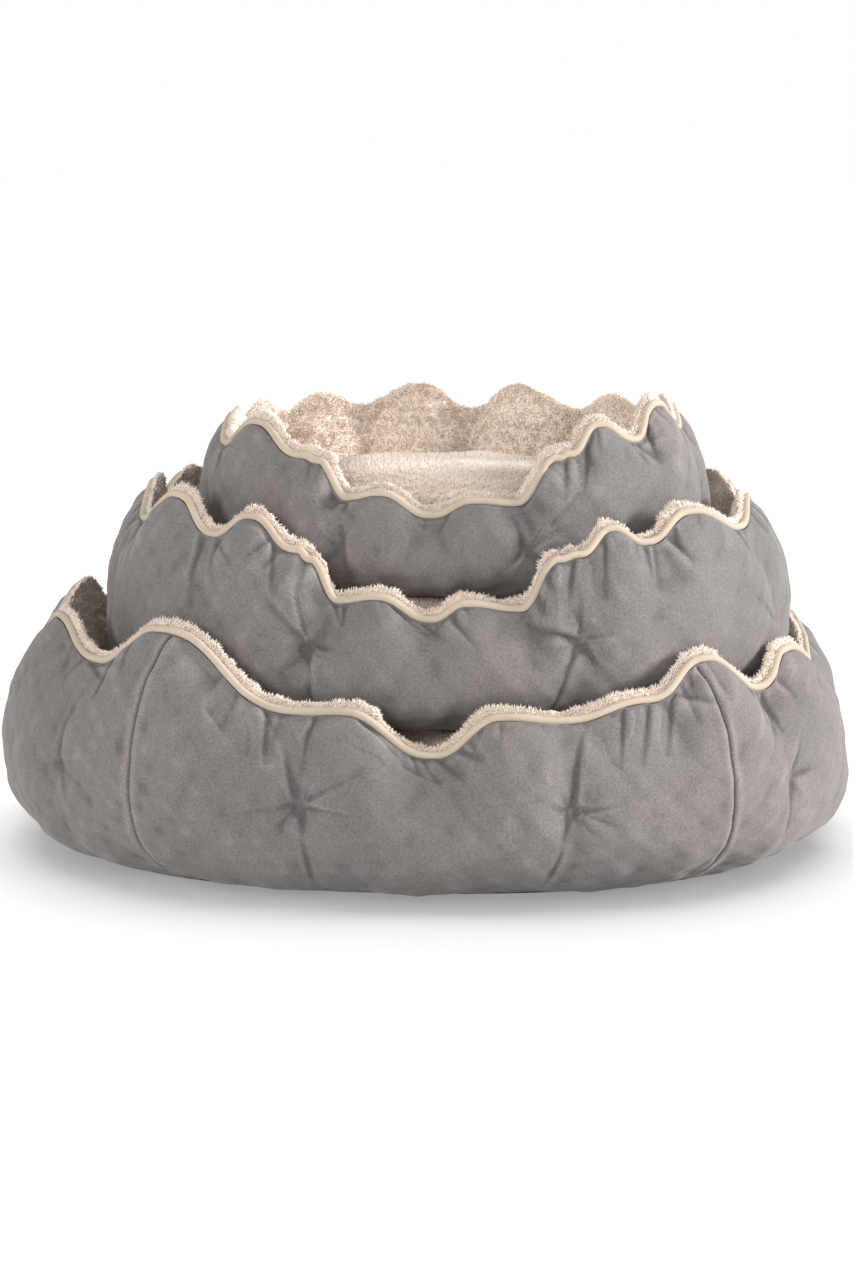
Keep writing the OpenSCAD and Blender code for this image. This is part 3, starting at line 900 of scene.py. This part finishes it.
def thread_material():
    """Dark grey twisted sewing thread."""
    m, tree, where = new_material("tie_thread")
    twist = add(tree, "ShaderNodeTexWave", wave_type="BANDS", bands_direction="DIAGONAL", scale=600)
    tree.links.new(where, twist.inputs["Vector"])
    base = ramp(tree, twist.outputs["Fac"], [(0.2, (0.045, 0.043, 0.042)), (0.8, (0.085, 0.08, 0.078))])
    return finish(m, base, [], roughness=0.7)


def base_cloth_material():
    """Dark non-slip cloth with a grid of raised rubber dots."""
    m, tree, where = new_material("base_cloth")
    dots = add(tree, "ShaderNodeTexVoronoi", feature="F1", scale=110, randomness=0.0)
    tree.links.new(where, dots.inputs["Vector"])
    weave = noise(tree, where, 800, 2.0)
    round_dot = ramp(tree, dots.outputs["Distance"], [(0.20, (1, 1, 1)), (0.26, (0, 0, 0))])
    cloth = ramp(tree, weave, [(0.3, (0.035, 0.035, 0.036)), (0.7, (0.070, 0.070, 0.072))])
    base = mixed(tree, cloth, (0.018, 0.018, 0.018), round_dot)
    return finish(m, base, [(round_dot, 0.5, 0.001), (weave, 0.3, 0.0004)], roughness=0.8)


MATERIAL = {
    "velvet": velvet_material(),
    "plush": plush_material("plush_ground", False),
    "locks": plush_material("plush_pile", True),
    "piping": piping_material(),
    "wadding": wadding_material(),
    "thread": thread_material(),
    "base_cloth": base_cloth_material(),
}


# ---- Pieces ----


def own(piece, size, kind, slot, *nodes):
    """A piece rides on its bed or cushion and stands for its CAD nodes. Its slot is not used."""
    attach(piece, f"{size}_{kind}")
    if nodes:
        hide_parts(*nodes)
    return piece


def seam_column(cols, size, seam):
    """Index of the fine column nearest to a seam's angle."""
    return int(np.argmin(np.abs(cols - (seam + 180) % 360 * COLUMNS[size] / 360)))


def between(cols, size, i):
    """Indices of the fine columns from seam i to the next, both included."""
    seams = SEAMS[size]
    first, last = (seam_column(cols, size, seams[k % len(seams)]) for k in (i, i + 1))
    if last <= first:
        last += len(cols)
    return np.arange(first, last + 1) % len(cols)


def make_walls(size):
    """The wall of one bed: panels, linings with their pile, wadding, piping, ties and seams."""
    out, inside = stuff_wall(size)
    around = 2 * math.pi * math.sqrt(sum(h * h for h in HALF[size]) / 2)
    cols = fine_columns(size, int(around / FINE_STEP))
    height = TALL[size]
    out_rows = np.linspace(0, 1, int(1.35 * height / FINE_STEP))
    in_rows = np.linspace(0, 1, int(1.05 * height / FINE_STEP))
    velvet = resample(out, cols, out_rows * (OUT_ROWS - 1))
    velvet = finish_velvet(size, velvet)
    # Painted shade in the creases and painted light on the bulges of the velvet.
    crease_shading = crease_shading_of(velvet)
    plush = resample(inside, cols, in_rows * (IN_ROWS - 1))
    plush = finish_plush(size, plush, 20 + len(size))
    for i, side in enumerate(SIDES[size]):
        part = between(cols, size, i)
        name = f"{size}_{side}"
        panel = skirted(f"{name}_velvet", to_row(size, velvet[part]), VELVET, MATERIAL["velvet"])
        # The velvet points carry their painted shade and light; the hem points get none.
        values = np.zeros(len(panel.data.vertices), np.float32)
        values[: crease_shading[part].size] = crease_shading[part].ravel()
        panel.data.attributes.new("crease_shading", "FLOAT", "POINT").data.foreach_set("value", values)
        own(panel, size, "bed", "velvet", f"{name}_panel")
        lining_grid = to_row(size, plush[part])
        lining = skirted(f"{name}_plush", lining_grid, PLUSH, MATERIAL["plush"])
        own(lining, size, "bed", "plush", f"{name}_lining")
        t = in_rows[None, :] + np.zeros((len(part), 1))
        dense = 0.8 + 1.2 * np.exp(-((t / 0.12) ** 2))
        fur = pile(f"{name}_pile", lining_grid, LOCKS[size], PILE, MATERIAL["locks"], 40 + i, dense)
        own(fur, size, "bed", "plush")
    at = np.radians(-180 + 360 * cols / COLUMNS[size])[:, None]
    smooth_out = place(size, at, *outer_point(size, at, out_rows[None, :] + 0 * at))
    smooth_in = place(size, at, *inner_point(size, at, in_rows[None, :] ** 0.9 + 0 * at))
    make_wadding(size, core(smooth_out, velvet, UNDER_VELVET), core(smooth_in, plush, UNDER_PLUSH))
    make_piping(size)
    make_ties(size, velvet, plush)
    make_seam_threads(size, velvet, cols)


def make_wadding(size, outer, inner):
    """The stuffing, just inside the fabric all round."""
    skin = np.concatenate([outer[:, 1:-4], inner[:, 4:-1]], 1)
    count, rows = skin.shape[:2]
    faces = grid_faces(count, rows, True).tolist()
    i = np.arange(count)
    k = (i + 1) % count
    close = np.stack([i * rows + rows - 1, k * rows + rows - 1, k * rows, i * rows], -1)
    faces += close.tolist()
    piece = mesh_object(f"{size}_wadding", to_row(size, skin), faces, MATERIAL["wadding"])
    own(piece, size, "bed", "wall_wadding", f"{size}_wall_filling")


def make_piping(size):
    """The piping over its cord, and the thin flange that joins it to the plush."""
    angle = np.radians(np.arange(0, 360, 0.5))
    inset = rim_inset(size, angle) + PIPING_OUT
    line = place(size, angle, inset, rim_height(size, angle) + PIPING_UP)
    r = PIPING_R * (1 + 0.05 * wobble(line, 0.05, 9, 2))
    piece = tubes(f"{size}_piping_cover", [to_row(size, line)], r, MATERIAL["piping"], 14, True)
    own(piece, size, "bed", "piping_fabric", f"{size}_piping")
    cord = tubes(f"{size}_rim_cord", [to_row(size, line)], CORD_R, MATERIAL["wadding"], 10, True)
    own(cord, size, "bed", "piping_cord", f"{size}_piping_cord")
    flange = line + [0, 0, -0.0004]
    flange[:, :2] -= unit(flange[:, :2]) * (PIPING_R + 0.0008)
    flange = to_row(size, flange)
    lip = tubes(f"{size}_piping_flange", [flange], FLANGE_R, MATERIAL["piping"], 8, True)
    own(lip, size, "bed", "piping_fabric")


TIE_R, STITCH_R = 0.0009, 0.0004
STITCH, PITCH = 0.0032, 0.0044  # length of a stitch, and from one to the next


def make_ties(size, velvet, plush):
    """Threads through the wall from dimple to dimple."""
    lines = []
    for tie in TIES[size]:
        ends = []
        for grid, outside in ((velvet, True), (plush, False)):
            a = at_surface(size, tie, TIE_SHARE, outside)
            d = np.linalg.norm(grid - a, axis=-1)
            ends.append(grid[np.unravel_index(np.argmin(d), d.shape)])
        a, b = to_row(size, np.array(ends))
        lines.append(a + (b - a) * np.linspace(0.01, 0.99, 12)[:, None])
    piece = tubes(f"{size}_ties", lines, TIE_R, MATERIAL["thread"], 8)
    own(piece, size, "bed", "tie_thread", f"{size}_tuft_ties")


def make_seam_threads(size, velvet, cols):
    """Stitches along the groove of each seam on the outside."""
    lines = []
    for seam in SEAMS[size]:
        c = seam_column(cols, size, seam)
        line = velvet[c]
        up = line[1:] - line[:-1]
        length = np.concatenate([[0], np.cumsum(np.linalg.norm(up, axis=1))])
        out = normals_of(velvet[[c - 1, c, (c + 1) % len(cols)]], False)[1]
        raised = line + out * STITCH_R
        for s in np.arange(0.006, length[-1] - 0.006, PITCH):
            t = s + STITCH * np.linspace(0, 1, 5)
            p = np.stack([np.interp(t, length, raised[:, k]) for k in range(3)], 1)
            sag = np.stack([np.interp(t, length, out[:, k]) for k in range(3)], 1)
            p = p - sag * (0.0009 * np.abs(np.linspace(-1, 1, 5)) ** 2)[:, None]
            lines.append(to_row(size, p))
    thread = MATERIAL["thread"]
    piece = tubes(f"{size}_seam_stitches", lines, STITCH_R, thread, 5, False, (0.3, 0.9, 0.1))
    own(piece, size, "bed", "tie_thread")


FLOOR_UNDER_WALL = 0.004  # how far the floor reaches under the foot of the wall


def make_floor(size):
    """The plush floor inside a bed."""
    low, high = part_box(f"{size}_floor_cloth")
    z0, z1 = low.z - MIDDLE[size][2], high.z - MIDDLE[size][2]
    angle = np.radians(np.arange(0, 360, 3))[:, None]
    t = np.linspace(0.02, 1, 26)[None, :]
    inset = share(size, WALL_SHARE) - FLOOR_UNDER_WALL
    r = radius(size, inset, angle) * t
    p = np.stack([r * np.cos(angle), r * np.sin(angle), np.zeros(r.shape)], -1)
    soft = np.clip((1 - t) / 0.06, 0, 1)
    p[..., 2] = z1 - 0.0015 * (1 - soft) + 0.0008 * wobble(p, 0.04, 15, 2) * soft
    p[..., 2] = np.minimum(p[..., 2], z1)
    under = p[:, ::-1].copy()
    under[..., 2] = z0
    skin = np.concatenate([p, under], 1)
    count, rows = skin.shape[:2]
    faces = grid_faces(count, rows, True)[:, ::-1].tolist()
    faces += [[i * rows for i in range(count)], [i * rows + rows - 1 for i in range(count)][::-1]]
    piece = mesh_object(f"{size}_floor", to_row(size, skin), faces, MATERIAL["plush"])
    own(piece, size, "bed", "plush", f"{size}_floor_cloth")


FLAT_TOP, FLAT_UNDER = {"large": 0.7, "medium": 0.7, "small": 0.3}, 0.82  # shares of a cushion's radius
CUSHION_LUMP = {"large": 0.0015, "medium": 0.0015, "small": 0.003}  # depth of its hollows
CUSHION_GAP = 0.004  # from a cushion to the foot of the wall
SEAM_DIP = 0.003  # how far a cushion's seam is drawn in


def cushion_grid(size):
    """A crowned closed cushion: [column, row] from the middle of the top to the middle below."""
    _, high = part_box(f"{size}_cushion_top")
    under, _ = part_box(f"{size}_cushion_underside")
    top, bottom = high.z - MIDDLE[size][2], under.z - MIDDLE[size][2]
    angle = np.radians(np.arange(0, 360, 1.5))[:, None]
    inset = share(size, WALL_SHARE) + CUSHION_GAP
    middle, half = (top + bottom) / 2, (top - bottom) / 2
    t = np.linspace(0, 1, 120)[None, :]
    up = 1 - 2 * t
    edge = np.abs(up)
    run = np.clip(1 - edge, 0, 1)
    flat = np.where(up > 0, FLAT_TOP[size], FLAT_UNDER)
    k = np.clip((run - flat) / (1 - flat), 0, 1)
    fall = 1 - np.sqrt(np.clip(1 - k**2.2, 0, 1))
    z = middle + np.sign(up) * half * (1 - fall) * (edge > 0)
    r = radius(size, inset, angle) * run * 0.997
    x, y = r * np.cos(angle), r * np.sin(angle)
    return np.stack([x, y, z + 0 * r], -1)


def make_cushion(size):
    """The loose cushion: plush top, velvet underside, and the wadding between."""
    grid = cushion_grid(size)
    rows = grid.shape[1]
    half = rows // 2
    n = -normals_of(grid)
    side = np.clip((np.linalg.norm(grid[..., :2], axis=-1) / HALF[size][0] - 0.1) / 0.3, 0, 1)
    move = CUSHION_LUMP[size] * (wobble(grid, 0.11, 60, 2) - 1)
    seam = np.exp(-(((np.arange(rows)[None, :] - half + 0.5) / 1.6) ** 2))
    move = move * (1 - seam) - SEAM_DIP * seam * side
    grid = grid + n * np.minimum(move, 0)[..., None]
    top, under = grid[:, 1 : half + 1][:, ::-1], grid[:, half:-1][:, ::-1]
    for part, label, slot in ((top, "top", "plush"), (under, "underside", "velvet")):
        piece = cushion_skin(f"{size}_cushion_{label}_skin", size, part, MATERIAL[slot])
        own(piece, size, "cushion", slot, f"{size}_cushion_{label}")
        if label == "top":
            ground = to_row(size, np.concatenate([part, part[:1]]))
            name, locks = f"{size}_cushion_pile", MATERIAL["locks"]
            fur = pile(name, ground, LOCKS[size], CUSHION_PILE, locks, 80, None, (0.3, 0.2))
            own(fur, size, "cushion", "plush")
    wadding = (grid - n * UNDER_CUSHION)[::3, ::3]
    count, rows = wadding.shape[:2]
    faces = grid_faces(count, rows, True)[:, ::-1].tolist()
    faces += [[i * rows for i in range(count)][::-1], [i * rows + rows - 1 for i in range(count)]]
    filling = mesh_object(f"{size}_cushion_wadding", to_row(size, wadding), faces, MATERIAL["wadding"])
    own(filling, size, "cushion", "cushion_wadding", f"{size}_cushion_filling")


def cushion_skin(name, size, part, material):
    """One face of a cushion as a closed thin skin, with its middle filled in."""
    n = normals_of(part)
    inner = part - n * VELVET
    count, rows = part.shape[:2]
    total = count * rows
    outer_faces = grid_faces(count, rows, True)
    i = np.arange(count)
    k = (i + 1) % count
    edge = np.stack([i * rows, i * rows + total, k * rows + total, k * rows], -1)
    last = rows - 1
    faces = outer_faces.tolist() + (outer_faces[:, ::-1] + total).tolist() + edge.tolist()
    faces += [(i * rows + last).tolist(), (i * rows + last + total)[::-1].tolist()]
    points = np.concatenate([part.reshape(-1, 3), inner.reshape(-1, 3)])
    return mesh_object(name, to_row(size, points), faces, material)


for bed in BEDS:
    make_walls(bed)
    make_floor(bed)
    make_cushion(bed)
    for part, kind in (("base_pad", "wadding"), ("base_cloth", "base_cloth")):
        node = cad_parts[f"{bed}_{part}"]
        node.data.materials.clear()
        node.data.materials.append(MATERIAL[kind])


# ---- Stage, light and camera ----

CAMERA_DISTANCE = 3.0
CAMERA_ELEVATION = math.radians(10)
AIM_HEIGHT = 0.19
LENS = 83.8  # millimetres, on a sensor 36 wide


def make_stage():
    floor = mesh_object("floor", [(-30, -30, 0), (30, -30, 0), (30, 30, 0), (-30, 30, 0)], [(0, 1, 2, 3)])
    floor.location.z = -0.0005
    paper = bpy.data.materials.new("floor")
    paper.use_nodes = True
    shader = paper.node_tree.nodes["Principled BSDF"]
    shader.inputs["Base Color"].default_value = (0.85, 0.85, 0.85, 1)
    shader.inputs["Roughness"].default_value = 1.0
    floor.data.materials.append(paper)
    return floor


def sun(name, azimuth, elevation, strength, spread):
    """A soft light from an azimuth to the right of the front, at an elevation, in degrees."""
    lamp = bpy.data.lights.new(name, "SUN")
    lamp.energy = strength
    lamp.angle = math.radians(spread)
    obj = bpy.data.objects.new(name, lamp)
    a, e = math.radians(azimuth), math.radians(elevation)
    way = Vector((math.sin(a) * math.cos(e), -math.cos(a) * math.cos(e), math.sin(e)))
    obj.rotation_euler = way.to_track_quat("Z", "Y").to_euler()
    bpy.context.scene.collection.objects.link(obj)
    return obj


def make_light(floor):
    """A white room, soft lights on the beds alone, and two on the floor alone: one from behind for
    the beds' shadow, and a fill that casts none."""
    world = bpy.data.worlds.new("studio")
    bpy.context.scene.world = world
    world.use_nodes = True
    tree = world.node_tree
    back = tree.nodes["Background"]
    back.inputs["Color"].default_value = (1, 1, 1, 1)
    back.inputs["Strength"].default_value = 0.45
    seen = add(tree, "ShaderNodeBackground", strength=1.0)
    seen.inputs["Color"].default_value = (1, 1, 1, 1)
    path = add(tree, "ShaderNodeLightPath")
    mix = add(tree, "ShaderNodeMixShader")
    tree.links.new(path.outputs["Is Camera Ray"], mix.inputs[0])
    tree.links.new(back.outputs[0], mix.inputs[1])
    tree.links.new(seen.outputs[0], mix.inputs[2])
    tree.links.new(mix.outputs[0], tree.nodes["World Output"].inputs[0])
    off_floor = bpy.data.collections.new("all_but_floor")
    off_floor.objects.link(floor)
    off_floor.collection_objects[0].light_linking.link_state = "EXCLUDE"
    on_floor = bpy.data.collections.new("floor_only")
    on_floor.objects.link(floor)
    for name, azimuth, elevation, strength, spread, lit in (
        ("key", 88, 20, 4.9, 18, off_floor),
        ("front", -4, 6, 0.35, 16, off_floor),
        ("left", -34, 22, 1.5, 20, off_floor),
        ("top", 175, 70, 0.45, 50, off_floor),
        ("shadow", 176, 61, 2.3, 70, on_floor),
        ("fill", 176, 80, 0.95, 10, on_floor),
    ):
        lamp = sun(name, azimuth, elevation, strength, spread)
        lamp.light_linking.receiver_collection = lit
        lamp.data.use_shadow = name != "fill"


def make_camera():
    data = bpy.data.cameras.new("camera")
    data.sensor_width = 36
    data.lens = LENS
    cam = bpy.data.objects.new("camera", data)
    e = CAMERA_ELEVATION
    cam.location = (0, -CAMERA_DISTANCE * math.cos(e), AIM_HEIGHT + CAMERA_DISTANCE * math.sin(e))
    aim = Vector((0, 0, AIM_HEIGHT)) - cam.location
    cam.rotation_euler = aim.to_track_quat("-Z", "Y").to_euler()
    bpy.context.scene.collection.objects.link(cam)
    bpy.context.scene.camera = cam


make_light(make_stage())
make_camera()
bpy.context.scene.view_settings.view_transform = "Standard"
